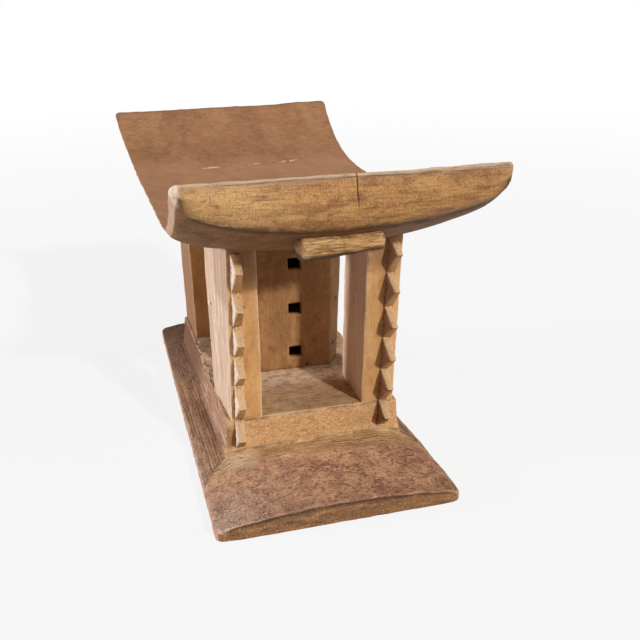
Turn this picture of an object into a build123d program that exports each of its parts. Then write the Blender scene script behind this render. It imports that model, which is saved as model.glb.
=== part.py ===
from build123d import *
import os

# Ashanti stool: a curved seat on four toothed corner posts and a hollow centre column,
# which stand on a plinth let into a crowned base slab. Millimetres.
# X runs along the stool, Y across it and Z up. The origin is the middle of the base's underside.

# Corner posts
post_gap = 118.0            # clear width between the feet of the two posts of one end
post_width = 36.0           # across the stool
post_depth = 88.0           # along the stool
post_start = 86.0           # from the middle of the stool to a post's inner face
post_lean = 3.0             # how much further out a post's head is than its foot
post_toe = 4.0              # how much further out a post's inner end is than its outer end

# Base slab
base_end_ledge = 116.0      # slab beyond the posts, at each end
base_side_ledge = 27.0      # slab beyond the plinth's foot, at each side
base_edge = 13.0            # thickness at the long edges and the corners
base_end_crown = 12.5       # how much thicker the middle of an end face is
base_foot = 32.0            # thickness where the plinth's corners stand
base_foot_crown = 4.5       # how much thicker it is halfway between those corners
base_fullness = 6.0         # power of the curve of the top's cross-section, along the plinth
base_end_fullness = 2.0     # the same, at the end faces

# Plinth
plinth_rise = 40.0          # top face above the base at its corners
plinth_ledge = 4.5          # top face beyond the posts, at each side
plinth_splay = 3.5          # how much further out each side's foot is
plinth_housing = 6.0        # how deep the plinth is let into the base

# Seat
seat_clear_height = 175.0   # plinth's top face to the seat's lowest point
seat_middle = 39.0          # seat's long edges above its lowest point, at the middle
seat_edge_rise = 74.0       # how much higher the long edges are at the ends
seat_edge_sweep = 4.15      # power of the curve that the long edges rise by
seat_under_rise = 65.0      # how much higher the underside is at the ends
seat_under_sweep = 3.0      # power of the curve that the underside rises by
seat_end_overhang = 121.0   # seat beyond the posts, at each end
seat_side_overhang = 55.0   # seat beyond the posts, at each side, at the middle
seat_flare = 8.0            # how much wider each side is at the ends
seat_dish = 4.0             # hollow across the top face
seat_lip = 7.0              # thickness of the long edges, at the middle
seat_lip_growth = 6.0       # how much thicker they are at the ends
seat_bulge = 2.0            # the underside's cross-section: power of the share of the half width
seat_shoulder = 0.75        # and power of what is left of it, which rounds the underside's sides
seat_stations = 10          # lengthwise spans between the seat's cross-sections

# Carved teeth on the posts' outer end faces
tooth_strip_width = 10.0
tooth_strip_margin = 4.0    # strip to the post's outer corner
tooth_root = 1.5            # strip proud of the post between two teeth
tooth_tip_top = 26.0        # reach of the highest tooth
tooth_tip_bottom = 20.0     # reach of the lowest tooth, which is on the plinth
tooth_ridge_drop = 0.4      # share of a tooth's height above its ridge
post_teeth = 5              # teeth on a post
plinth_tooth_foot = 6.0     # lowest tooth above the base

# Centre column
column_depth = 110.0        # along the stool, over its two end faces
column_width = 140.0        # across the stool, over its two sides
column_face = 82.0          # width of an end face
column_side = 72.0          # length of a side face
column_wall = 12.0
column_head_housing = 7.0   # column let into the seat, above the seat's lowest point
column_foot_housing = 4.0   # column let into the plinth
hole_width = 14.5
hole_height = 12.5
hole_foot = 25.5            # middle of the lowest hole above the plinth
hole_pitch = 55.5
hole_offset = 10.0          # line of holes from the column's middle, towards the front
hole_headroom = 20.0        # least room from the highest hole's middle to the seat

# Lugs under the seat's ends
lug_length = 78.0           # across the stool
lug_depth = 42.0            # along the stool
lug_setback = 15.5          # lug's outer face from the seat's end
lug_drop = 15.0             # below the seat, at the lug's middle
lug_round = 12.0            # radius of the two lower long edges
lug_end_round = 4.0         # radius of the upright corners
lug_tongue_depth = 14.0     # tongue in the seat's groove, along the stool
lug_tongue_inset = 9.0      # tongue's ends from the lug's ends
lug_tongue_rise = 10.0      # tongue above the underside, at the lug's middle

# Joinery
tenon_side_shoulder = 9.0   # post's shoulder beside a tenon, across the stool
tenon_end_shoulder = 14.0   # the same, along the stool
tenon_head = 11.0           # upper tenon above the underside, at the post's outer face
tenon_foot = 12.0           # lower tenon in the base, below the plinth
joint_fit = 0.2             # clearance round tenons, tongues and housings
joint_relief = 1.0          # room past the end of a tenon or tongue
seat_fit = 0.3              # curved shoulders under the seat
cut_over = 2.0              # how far a cutter runs past the face it opens

# Levels and reaches that follow from the sizes above
post_reach = post_start + post_depth
post_near = post_gap / 2
post_far = post_near + post_width
plinth_half = post_far + plinth_ledge
plinth_foot_half = plinth_half + plinth_splay
plinth_floor = base_foot - plinth_housing
plinth_top = base_foot + plinth_rise
base_half_length = post_reach + base_end_ledge
base_half_width = plinth_foot_half + base_side_ledge
seat_low = plinth_top + seat_clear_height
seat_half_length = post_reach + seat_end_overhang
column_head = seat_low + column_head_housing
column_foot = plinth_top - column_foot_housing
tenon_low = plinth_floor - tenon_foot
strip_far = post_far - tooth_strip_margin
strip_near = strip_far - tooth_strip_width
lug_far = seat_half_length - lug_setback
lug_near = lug_far - lug_depth
lug_middle = (lug_far + lug_near) / 2


# Block between three pairs of limits
def box(x_span, y_span, z_span):
    spans = (x_span, y_span, z_span)
    centre = [(low + high) / 2 for low, high in spans]
    return Pos(*centre) * Box(*[high - low for low, high in spans])


def grown(span, extra):
    return (span[0] - extra, span[1] + extra)


# How far out a point of a post is by the post's lean and toe
def post_shift(x, z):
    leaning = post_lean * (z - plinth_top) / seat_clear_height
    return leaning + post_toe * (post_reach - x) / post_depth


# Part of a post: an outline of (x, z) points between two limits in Y, shifted as the post is
def post_prism(outline, y_span):
    corners = [(x, y_span[0] + post_shift(x, z), z) for x, z in outline]
    face = make_face(Polyline(*corners, close=True))
    return extrude(face, amount=y_span[1] - y_span[0], dir=(0, 1, 0))


# Solid with an outline of (y, z) points, between two limits in X
def prism_along_x(outline, x_span):
    face = make_face(Polyline(*[(x_span[0], y, z) for y, z in outline], close=True))
    return extrude(face, amount=x_span[1] - x_span[0], dir=(1, 0, 0))


# The shape made at +X +Y, with its mirror images in the other three quarters
def four_corners(shape):
    pair = [shape, mirror(shape, about=Plane.YZ)]
    return pair + [mirror(piece, about=Plane.XZ) for piece in pair]


# Share of the way from the seat's middle to its end
def along(x):
    return abs(x) / seat_half_length


def seat_half_width(x):
    return post_far + seat_side_overhang + seat_flare * along(x) ** 2


def seat_edge_height(x):
    return seat_low + seat_middle + seat_edge_rise * along(x) ** seat_edge_sweep


def seat_lip_height(x):
    return seat_edge_height(x) - seat_lip - seat_lip_growth * along(x) ** 2


# Underside: lowest on the centre line, and rising to the lips by a power curve
def seat_under_height(x, y):
    centre = seat_low + seat_under_rise * along(x) ** seat_under_sweep
    lip = seat_lip_height(x)
    across = min(abs(y) / seat_half_width(x), 1)
    return lip - (lip - centre) * (1 - across ** seat_bulge) ** seat_shoulder


def seat_section(x):
    half = seat_half_width(x)
    edge = seat_edge_height(x)
    lip = seat_lip_height(x)
    shares = (0.97, 0.88, 0.72, 0.5, 0.25, 0, -0.25, -0.5, -0.72, -0.88, -0.97)
    under = [(x, half, lip)]
    under += [(x, half * share, seat_under_height(x, half * share)) for share in shares]
    under += [(x, -half, lip)]
    top = ThreePointArc((x, -half, edge), (x, 0, edge - seat_dish), (x, half, edge))
    right = Line((x, half, edge), (x, half, lip))
    left = Line((x, -half, lip), (x, -half, edge))
    return make_face([*top.edges(), *right.edges(), *Spline(*under).edges(), *left.edges()])


def seat_blank():
    step = 2 * seat_half_length / seat_stations
    return loft([seat_section(index * step - seat_half_length) for index in range(seat_stations + 1)])


# Slab's cross-section, with a top that falls to its edges by a power curve
def base_section(x, crown, fullness):
    shares = (1, 0.85, 0.6, 0.3, 0, -0.3, -0.6, -0.85, -1)
    heights = [base_edge + crown * (1 - abs(share) ** fullness) for share in shares]
    top = [(x, base_half_width * share, height) for share, height in zip(shares, heights)]
    sides = Polyline(top[-1], (x, -base_half_width, 0), (x, base_half_width, 0), top[0])
    return make_face([*Spline(*top).edges(), *sides.edges()])


def base_blank():
    foot_crown = base_foot + base_foot_crown - base_edge
    left_end, right_end = [
        base_section(side * base_half_length, base_end_crown, base_end_fullness) for side in (-1, 1)
    ]
    left_foot, right_foot = [
        base_section(side * post_reach, foot_crown, base_fullness) for side in (-1, 1)
    ]
    return loft([left_end, left_foot, right_foot, right_end], ruled=True)


def plinth_blank():
    outline = [
        (-plinth_foot_half, plinth_floor),
        (plinth_foot_half, plinth_floor),
        (plinth_foot_half, base_foot),
        (plinth_half, plinth_top),
        (-plinth_half, plinth_top),
        (-plinth_foot_half, base_foot),
    ]
    return prism_along_x(outline, (-post_reach, post_reach))


def plinth_housing_cutter():
    reach = post_reach + joint_fit
    half = plinth_foot_half + joint_fit
    return box((-reach, reach), (-half, half), (plinth_floor, plinth_top))


# One tooth of a strip: out from its upper root to a ridge, and back to its lower root
def tooth(low, high, reach):
    ridge = high - tooth_ridge_drop * (high - low)
    outline = [
        (post_reach - cut_over, low),
        (post_reach + tooth_root, low),
        (post_reach + reach, ridge),
        (post_reach + tooth_root, high),
        (post_reach - cut_over, high),
    ]
    return post_prism(outline, (strip_near, strip_far))


# Reach of a tooth, with 0 the lowest: the strip's teeth grow towards the seat
def tooth_reach(index):
    return tooth_tip_bottom + (tooth_tip_top - tooth_tip_bottom) * index / post_teeth


def tenon(z_span, clearance=0.0):
    x_span = (post_start + tenon_end_shoulder, post_reach - tenon_end_shoulder)
    shift = (post_lean + post_toe) / 2
    y_span = (post_near + tenon_side_shoulder + shift, post_far - tenon_side_shoulder + shift)
    return box(grown(x_span, clearance), grown(y_span, clearance), z_span)


def post(seat_above):
    head = seat_under_height(post_reach, strip_far)
    top = seat_under_height(post_reach, post_far + post_lean + post_toe) + cut_over
    side = [(post_start, plinth_top), (post_reach, plinth_top), (post_reach, top), (post_start, top)]
    body = post_prism(side, (post_near, post_far))
    pitch = (head - plinth_top) / post_teeth
    for index in range(post_teeth):
        low = plinth_top + pitch * index
        body += tooth(low, low + pitch, tooth_reach(index + 1))
    body -= seat_above
    tenon_top = seat_under_height(post_reach, post_near) + tenon_head
    return body + tenon((tenon_low + joint_relief, tenon_top))


def column_outline(z, extra=0.0):
    x = column_depth / 2
    y = column_width / 2
    face = column_face / 2
    side = column_side / 2
    corners = [(x, face), (side, y), (-side, y), (-x, face), (-x, -face), (-side, -y), (side, -y), (x, -face)]
    outline = make_face(Polyline(*[(px, py, z) for px, py in corners], close=True))
    return offset(outline, extra, kind=Kind.INTERSECTION) if extra else outline


# Upright eight-sided solid, as large as the column's outside or larger or smaller by an even amount
def column_block(z_span, extra=0.0):
    return extrude(column_outline(z_span[0], extra), amount=z_span[1] - z_span[0], dir=(0, 0, 1))


def hole_heights():
    room = seat_clear_height - hole_foot - hole_headroom
    count = int(room // hole_pitch) + 1
    return [plinth_top + hole_foot + hole_pitch * index for index in range(count)]


def column():
    body = column_block((column_foot, column_head - joint_fit))
    body -= column_block(grown((column_foot, column_head), cut_over), -column_wall)
    reach = column_depth / 2 + cut_over
    across = (-hole_offset - hole_width / 2, -hole_offset + hole_width / 2)
    for height in hole_heights():
        body -= box((-reach, reach), across, (height - hole_height / 2, height + hole_height / 2))
    return body


def tongue(clearance=0.0, relief=0.0):
    half = lug_length / 2 - lug_tongue_inset + clearance
    x_span = grown((lug_middle - lug_tongue_depth / 2, lug_middle + lug_tongue_depth / 2), clearance)
    under = seat_under_height(lug_middle, 0)
    return box(x_span, (-half, half), (under - lug_drop / 2, under + lug_tongue_rise + relief))


def lug(seat_above):
    bottom = seat_under_height(lug_middle, 0) - lug_drop
    top = seat_under_height(lug_far, lug_length / 2) + cut_over
    body = box((lug_near, lug_far), (-lug_length / 2, lug_length / 2), (bottom, top))
    body = fillet(body.edges().filter_by(Axis.Z), lug_end_round)
    body = fillet(body.faces().sort_by(Axis.Z)[0].edges().filter_by(Axis.Y), lug_round)
    return (body - seat_above) + tongue()


def build_seat(blank):
    seat = blank
    mortise_top = seat_under_height(post_reach, post_near) + tenon_head + joint_relief
    for mortise in four_corners(tenon((seat_low - cut_over, mortise_top), joint_fit)):
        seat -= mortise
    seat -= column_block((seat_low - cut_over, column_head), joint_fit)
    groove = tongue(joint_fit, joint_relief)
    for cutter in (groove, mirror(groove, about=Plane.YZ)):
        seat -= cutter
    return seat


def build_plinth():
    plinth = plinth_blank()
    low = base_foot + base_foot_crown + plinth_tooth_foot
    for piece in four_corners(tooth(low, plinth_top, tooth_reach(0))):
        plinth += piece
    for mortise in four_corners(tenon((plinth_floor - cut_over, plinth_top + cut_over), joint_fit)):
        plinth -= mortise
    return plinth - column_block((column_foot, plinth_top + cut_over), joint_fit)


def build_base():
    base = base_blank() - plinth_housing_cutter()
    for mortise in four_corners(tenon((tenon_low, plinth_top), joint_fit)):
        base -= mortise
    return base


def build_all():
    blank = seat_blank()
    seat_above = Pos(0, 0, -seat_fit) * blank
    right_back = post(seat_above)
    right_front = mirror(right_back, about=Plane.XZ)
    right_lug = lug(seat_above)
    return {
        "seat": build_seat(blank),
        "lug_right": right_lug,
        "lug_left": mirror(right_lug, about=Plane.YZ),
        "post_right_back": right_back,
        "post_right_front": right_front,
        "post_left_back": mirror(right_back, about=Plane.YZ),
        "post_left_front": Rot(0, 0, 180) * right_back,
        "centre_column": column(),
        "plinth": build_plinth(),
        "base": build_base(),
    }


os.makedirs("parts", exist_ok=True)
for name, piece in build_all().items():
    export_step(piece, f"parts/{name}.step")
    print(name, round(piece.volume / 1000, 1), "cm3")
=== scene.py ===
import math
import bpy
import numpy as np
from mathutils import Matrix, Vector


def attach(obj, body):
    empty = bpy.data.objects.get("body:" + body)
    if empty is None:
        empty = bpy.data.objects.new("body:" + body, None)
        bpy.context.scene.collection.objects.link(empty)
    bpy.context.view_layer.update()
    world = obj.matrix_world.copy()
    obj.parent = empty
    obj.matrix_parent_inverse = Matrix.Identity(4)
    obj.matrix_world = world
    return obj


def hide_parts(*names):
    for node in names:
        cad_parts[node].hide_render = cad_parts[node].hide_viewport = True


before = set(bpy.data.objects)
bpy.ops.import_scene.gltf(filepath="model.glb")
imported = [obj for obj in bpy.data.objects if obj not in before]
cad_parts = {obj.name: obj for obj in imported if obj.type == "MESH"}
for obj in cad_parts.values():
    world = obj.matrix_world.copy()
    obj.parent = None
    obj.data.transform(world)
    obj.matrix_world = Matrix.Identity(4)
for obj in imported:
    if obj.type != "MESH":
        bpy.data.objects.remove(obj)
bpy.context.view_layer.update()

viewpoint = dict(
    place=(-0.9705, 0.2240, 0.4921),   # metres
    heading=16.205,                    # degrees to the right of the stool's length
    tilt=20.636,                       # degrees down
    roll=-0.354,
    lens=46.05,
    sensor=36,
    nearest=0.01,
)


def addObject(name, data):
    thing = bpy.data.objects.new(name, data)
    bpy.context.scene.collection.objects.link(thing)
    return thing


def addCamera(values):
    heading, tilt, roll = (math.radians(values[name]) for name in ("heading", "tilt", "roll"))
    along, across = math.cos(heading) * math.cos(tilt), -math.sin(heading) * math.cos(tilt)
    ahead = Vector((along, across, -math.sin(tilt)))
    right = Vector((-math.sin(heading), -math.cos(heading), 0))
    turned = math.cos(roll) * right + math.sin(roll) * right.cross(ahead)
    matrix = Matrix((turned, turned.cross(ahead), -ahead)).transposed().to_4x4()
    matrix.translation = values["place"]
    data = bpy.data.cameras.new("camera")
    data.lens = values["lens"]
    data.sensor_width = values["sensor"]
    data.clip_start = values["nearest"]
    bpy.context.scene.camera = addObject("camera", data)
    bpy.context.scene.camera.matrix_world = matrix


# Shader sums: a Wire is a node's output, and each operator on it adds a Math node

def operator(operation, turned=False):
    def method(self, *others):
        return self.recipe.maths(operation, *((*others, self) if turned else (self, *others)))
    return method


class Wire:
    def __init__(self, recipe, socket):
        self.recipe = recipe
        self.socket = socket

    __add__ = operator("ADD")
    __sub__ = operator("SUBTRACT")
    __rsub__ = operator("SUBTRACT", turned=True)
    __mul__ = operator("MULTIPLY")
    __abs__ = operator("ABSOLUTE")
    sine = operator("SINE")
    root = operator("SQRT")

    # 0 below the first value, 1 above the second, and a smooth rise between them
    def rise(self, low, high):
        settings = {"interpolation_type": "SMOOTHSTEP"}
        return self.recipe.add("ShaderNodeMapRange", settings, {0: self, 1: low, 2: high})


class Recipe:
    def __init__(self, owner):
        owner.use_nodes = True
        self.tree = owner.node_tree

    # A node of one type: its settings first, then a value or a wire for each socket
    def add(self, kind, settings=None, values=None, output=0):
        node = self.tree.nodes.new(kind)
        for name, value in (settings or {}).items():
            setattr(node, name, value)
        for name, value in (values or {}).items():
            self.feed(node.inputs[name], value)
        return Wire(self, node.outputs[output])

    def feed(self, socket, value):
        if isinstance(value, Wire):
            self.tree.links.new(value.socket, socket)
        elif socket.type == "RGBA":
            socket.default_value = (*value, 1)
        else:
            socket.default_value = value

    def maths(self, operation, *values):
        return self.add("ShaderNodeMath", {"operation": operation}, dict(enumerate(values)))

    # The three numbers of a vector, such as the place or the normal in the stool's own frame
    def parts(self, output):
        vector = self.add("ShaderNodeTexCoord", output=output)
        node = self.add("ShaderNodeSeparateXYZ", None, {0: vector}).socket.node
        return [Wire(self, socket) for socket in node.outputs]

    # Noise as a number, with the pattern's size along X, Y and Z in millimetres. A seed moves it
    def noise(self, size, detail=3.0, bend=0.0, seed=0):
        shift = (seed * 3.7, seed * 1.9, seed * 5.3)
        scale = tuple(1000 / length for length in size)
        place = self.add("ShaderNodeTexCoord", output="Object")
        place = self.add("ShaderNodeMapping", None, {"Vector": place, "Scale": scale, "Location": shift})
        values = {"Vector": place, "Scale": 1.0, "Detail": detail, "Roughness": 0.6, "Distortion": bend}
        return self.add("ShaderNodeTexNoise", None, values)

    def mark(self, name):
        return self.add("ShaderNodeAttribute", {"attribute_name": name}, output="Fac")

    def blend(self, first, second, share):
        settings = {"data_type": "RGBA", "clamp_factor": True}
        return self.add("ShaderNodeMix", settings, {0: share, 6: first, 7: second}, output=2)

    def feedNode(self, name, values):
        for socket, value in values.items():
            self.feed(self.tree.nodes[name].inputs[socket], value)


# Colour as it looks on a screen, 0 to 255, to the linear numbers that a shader takes
def tone(values):
    shares = [value / 255 for value in values]
    return tuple(s / 12.92 if s <= 0.04045 else ((s + 0.055) / 1.055) ** 2.4 for s in shares)


# A finish is coats of colour, one over the other. A coat lies on places: marks of the mesh, or
# ways that it faces. share is how much of it shows, size its pattern's size along X, Y and Z, cut
# the two levels between which the pattern sets in, and depth how far it stands up. And also:
# off      places that it leaves out
# vein     thin lines where the pattern crosses its middle
# pitch    even lines across a distance instead, that far apart, which stray by jitter
# at       one line along a height instead, and wide, its width
# spot     a patch about a point instead, cut to a distance; with arms, a star across Y and Z

def coat(places, colour, share, size=None, cut=None, depth=None, **more):
    size = size if size is None or isinstance(size, tuple) else (size, size, size)
    return dict(places=places.split(), colour=colour, share=share, size=size, cut=cut, depth=depth, **more)


# Coats that several pieces share: open pores with pale dust in the low spots; and for the teeth,
# pale ticked faces above their ridges as painted light and brown ones below as painted shade,
# with a painted shadow under each ridge and painted shade in the crevices
def pores(share, colour=(120, 80, 50)):
    return [
        coat("", colour, share, 1.5, (0.58, 0.7), -0.05, detail=2),
        coat("", (238, 208, 168), share * 0.8, 1.7, (0.6, 0.72), 0.03, detail=2),
    ]


def teethCoats(outer, upper, lower, lowerShare):
    return [
        coat("tooth outer left", outer, 0.9),
        # the faces above each ridge paler as painted light, the faces below browner as painted shade
        coat("tooth upperFace", upper, 0.9),
        coat("tooth upperFace", (146, 104, 66), 0.7, (4, 1.3, 3.4), (0.52, 0.68), -0.1),
        coat("tooth lowerFace", lower, lowerShare),
        # a painted shadow just under each ridge
        coat("underRidge", (70, 44, 26), 0.9, (4, 2, 4), (0.3, 0.55), -0.2),
        # painted shade in the crevices, which on the plinth also darkens its chips
        coat("crevice", (78, 48, 30), 1.0, (4, 3, 4), (0.42, 0.6)),
    ]


alongs = ("alongX", "alongY", "alongZ")

# How much of a normal has to point a way, for the mask to start and to be full
facingLevels = {
    "end": (0.5, 0.8), "side": (0.5, 0.8), "outer": (0.45, 0.8), "inner": (0.45, 0.8), "up": (0.4, 0.75),
}


def facings(recipe):
    nx, ny, nz = recipe.parts("Normal")
    x, y, z = recipe.parts("Object")
    outward = ny * recipe.maths("SIGN", y)
    ways = {"end": abs(nx), "side": abs(ny), "outer": outward, "inner": outward * -1.0, "up": nz}
    masks = {name: way.rise(*facingLevels[name]) for name, way in ways.items()}
    masks["left"] = (x * -1000.0).rise(-60, 60)        # 1 at the left half of the stool
    return masks | {name: part * 1000.0 for name, part in zip(alongs, (x, y, z))}


def patch(layer, masks, found):
    offsets = [masks[name] - place for name, place in zip(alongs, layer["spot"])]
    stray = (found - 0.5) * layer["jitter"]
    if "arms" in layer:
        _, across, up = offsets
        away = (across * across + up * up).root()
        turn = across.recipe.maths("ARCTAN2", up, across) * (layer["arms"] / 2)
        beside = abs(turn.sine()) * away * (2 / layer["arms"])
        line = 1 - (beside + abs(stray)).rise(layer["wide"] * 0.5, layer["wide"])
        return line * (1 - away.rise(*layer["cut"]))
    offsets[0] = offsets[0] * (1 / layer.get("long", 1.0))
    away = sum((offset * offset for offset in offsets[1:]), offsets[0] * offsets[0]).root()
    return 1 - (away + stray).rise(*layer["cut"])


def pattern(recipe, layer, masks, seed):
    found = recipe.noise(layer["size"], layer.get("detail", 3.0), layer.get("bend", 0.0), seed)
    if "spot" in layer:
        return patch(layer, masks, found)
    if "across" in layer:
        level = masks.get(layer["across"]) or recipe.mark(layer["across"])
        breaks = recipe.noise(layer["breaks"], 2.0, 0.0, seed + 7)
    if "at" in layer:
        level = abs(level - layer["at"] + (found - 0.5) * layer["jitter"])
        return (1 - level.rise(layer["wide"] * 0.3, layer["wide"])) * breaks.rise(*layer["cut"])
    if "pitch" in layer:
        wave = ((level + (found - 0.5) * layer["jitter"]) * (2 * math.pi / layer["pitch"])).sine()
        return (wave * 0.5 + 0.5).rise(*layer["cut"]) * breaks.rise(0.38, 0.6)
    if layer.get("vein"):
        found = 1 - abs(found - 0.5) * 2
    return found.rise(*layer["cut"])


def coated(name, base, coats, roughness, spread=0.3):
    material = bpy.data.materials.new(name)
    recipe = Recipe(material)
    masks = facings(recipe)
    colour, height = tone(base), 0.0

    def maskOf(place):
        masks[place] = masks.get(place) or recipe.mark(place)
        return masks[place]

    for seed, layer in enumerate(coats):
        share = pattern(recipe, layer, masks, seed) if layer["size"] else 1.0
        for place in layer["places"]:
            share = maskOf(place) * share
        for place in layer.get("off", "").split():
            share = (1 - maskOf(place)) * share
        colour = recipe.blend(colour, tone(layer["colour"]), share * layer["share"])
        if layer["depth"]:
            height = share * layer["depth"] + height
    rough = recipe.noise((30, 30, 30), seed=40) * spread + (roughness - spread / 2)
    normal = recipe.add("ShaderNodeBump", None, {"Height": height, "Strength": 1.0, "Distance": 0.001})
    values = {"Base Color": colour, "Roughness": rough, "Normal": normal, "Specular IOR Level": 0.35}
    recipe.feedNode("Principled BSDF", values)
    return material


def unit(value):
    return np.clip(value, 0, 1)


# 0 at the first level, 1 at the second, and straight between them
def ramp(value, zero, one):
    return unit((value - zero) / (one - zero))


# 1 in the middle, and exp(-(distance / width)^2) away from it
def bell(value, middle, wide):
    return np.exp(-((value - middle) / wide) ** 2)


def given(value, *places):
    return value(*places) if callable(value) else value


# Rounded blocks on a box of stations

def stations(low, high, rim, step, extra=()):
    # even between the rims, and at rim times (1 - sine) from the ends inside them
    turn = rim * (1 - np.sin(np.linspace(np.pi / 2, 0, 6)))
    between = np.linspace(low + rim, high - rim, max(2, round((high - low - 2 * rim) / step) + 1))
    return np.unique(np.round(np.concatenate([low + turn, between, high - turn, extra]), 5))


def blockFaces(counts):
    # the six sides of a box of stations, welded where they meet, each as a grid of four-sided faces
    inside = np.zeros(counts, bool)
    inside[1:-1, 1:-1, 1:-1] = True
    ids = np.full(counts, -1)
    ids[~inside] = np.arange(np.count_nonzero(~inside))
    sides = [ids[:, :, -1], ids[:, :, 0].T, ids[-1], ids[0].T, ids[:, -1].T, ids[:, 0]]
    corners = [(s[:-1, :-1], s[1:, :-1], s[1:, 1:], s[:-1, 1:]) for s in sides]
    return ~inside, np.concatenate([np.stack(quad, -1).reshape(-1, 4) for quad in corners])


def fallAt(inset, rim):
    left = np.maximum(rim - inset, 0)
    return rim - np.sqrt(np.maximum(rim ** 2 - left ** 2, 0))


def block(values, spanX, spanY, under, over, corner=None, rims=None, extraY=()):
    # Heights run from under(x, y) to over(x, y). A corner in plan is a square ring drawn in to a
    # quarter circle. Near the outline a face falls by r - root(r^2 - (r - inset)^2), with r a rim.
    # The upper and the lower rim each take less than half of the height.
    xs = stations(*spanX, values["corner"], values["steps"][0])
    ys = stations(*spanY, values["corner"], values["steps"][1], extraY)
    rows = values["rows"]
    shares = np.linspace(0, 1, rows) if isinstance(rows, int) else np.array(rows)
    shell, faces = blockFaces((len(xs), len(ys), len(shares)))
    x, y, share = (axis[shell] for axis in np.meshgrid(xs, ys, shares, indexing="ij"))
    insetX = np.minimum(x - xs[0], xs[-1] - x)
    insetY = np.minimum(y - ys[0], ys[-1] - y)
    inset = np.minimum(insetX, insetY)
    corner = given(corner or values["corner"], x, y)
    coreX = np.clip(x, xs[0] + corner, xs[-1] - corner)
    coreY = np.clip(y, ys[0] + corner, ys[-1] - corner)
    reachX, reachY = x - coreX, y - coreY
    long = np.hypot(reachX, reachY)
    pull = np.where(long > 0, np.maximum(abs(reachX), abs(reachY)) / np.maximum(long, 1e-9), 1)
    rimTop, rimUnder = (given(rim, insetX, insetY, y) for rim in rims or values["rims"])
    x, y = coreX + reachX * pull, coreY + reachY * pull
    low, high = given(under, x, y), given(over, x, y)
    room = (high - low) * 0.48
    low = low + fallAt(inset, np.minimum(rimUnder, room))
    high = high - fallAt(inset, np.minimum(rimTop, room))
    tall = high - low
    nearest = np.sort(np.stack([insetX, insetY, np.minimum(share, 1 - share) * tall]), 0)[1]
    marks = {"lid": share == 1, "bottom": share == 0, "tip": insetX == 0, "flank": insetY == 0}
    marks = {name: mark.astype(float) for name, mark in marks.items()}
    marks["edge"] = np.exp(-nearest / 3.0)
    marks["rim"] = np.exp(-(1 - share) * tall / 4.0)
    marks["hem"] = np.exp(-share * tall / 4.0)
    return np.stack([x, y, low + share * tall], 1), faces, marks


def waves(points, size, seed, count=16):
    # plane waves of about this length in seeded directions, added up
    dice = np.random.default_rng(seed)
    heading = dice.normal(size=(count, 3))
    turns = 2 * np.pi / size * dice.uniform(0.7, 1.5, (count, 1))
    heading *= turns / np.linalg.norm(heading, axis=1, keepdims=True)
    return np.sin(points @ heading.T + dice.uniform(0, 2 * np.pi, count)).sum(1) * math.sqrt(2 / count)


# The surface of wood cut by hand. Each entry is waves: their height, length and seed
def grain(points, entries):
    return sum(tall * waves(points, long, seed) for tall, long, seed in entries)


hand = dict(sway=(0.22, 160), nick=(0.14, 28), worn=(0.08, 14), flat=20)


def handCut(shape):
    # the same slow sway and small nicks for every piece, so that neighbours still meet, and more
    # at its edges. The underside stays flat on the floor.
    points, faces, marks = shape
    parts = []
    for seed in (11, 12, 13):
        shift = grain(points, [(*hand["sway"], seed), (*hand["nick"], seed + 20)])
        parts.append(shift + grain(points, [(*hand["worn"], seed + 40)]) * marks["edge"])
    parts[2] *= ramp(points[:, 2], 0, hand["flat"])
    return points + np.stack(parts, 1), faces, marks


def joined(first, *others):
    points, faces, marks = first
    for morePoints, moreFaces, moreMarks in others:
        names = sorted({*marks, *moreMarks})
        before, after = np.zeros(len(points)), np.zeros(len(morePoints))
        marks = {name: np.append(marks.get(name, before), moreMarks.get(name, after)) for name in names}
        faces = np.concatenate([faces, moreFaces + len(points)])
        points = np.concatenate([points, morePoints])
    return points, faces, marks


def mirrored(shape, signX, signY):
    points, faces, marks = shape
    return points * np.array([signX, signY, 1]), faces if signX * signY > 0 else faces[:, ::-1], marks


def addPiece(node, shape, material):
    points, faces, marks = handCut(shape)
    name = node + "_carved"
    mesh = bpy.data.meshes.new(name)
    mesh.vertices.add(len(points))
    mesh.vertices.foreach_set("co", (points / 1000).astype(np.float32).ravel())
    mesh.loops.add(faces.size)
    mesh.loops.foreach_set("vertex_index", faces.astype(np.int32).ravel())
    mesh.polygons.add(len(faces))
    mesh.polygons.foreach_set("loop_start", np.arange(0, faces.size, 4, dtype=np.int32))
    mesh.polygons.foreach_set("use_smooth", np.ones(len(faces), bool))
    mesh.update(calc_edges=True)
    for mark, values in marks.items():
        mesh.attributes.new(mark, "FLOAT", "POINT").data.foreach_set("value", values.astype(np.float32))
    mesh.materials.append(material)
    piece = addObject(name, mesh)
    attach(piece, "root")
    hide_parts(node)
    print(name, len(points), "points")


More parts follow.
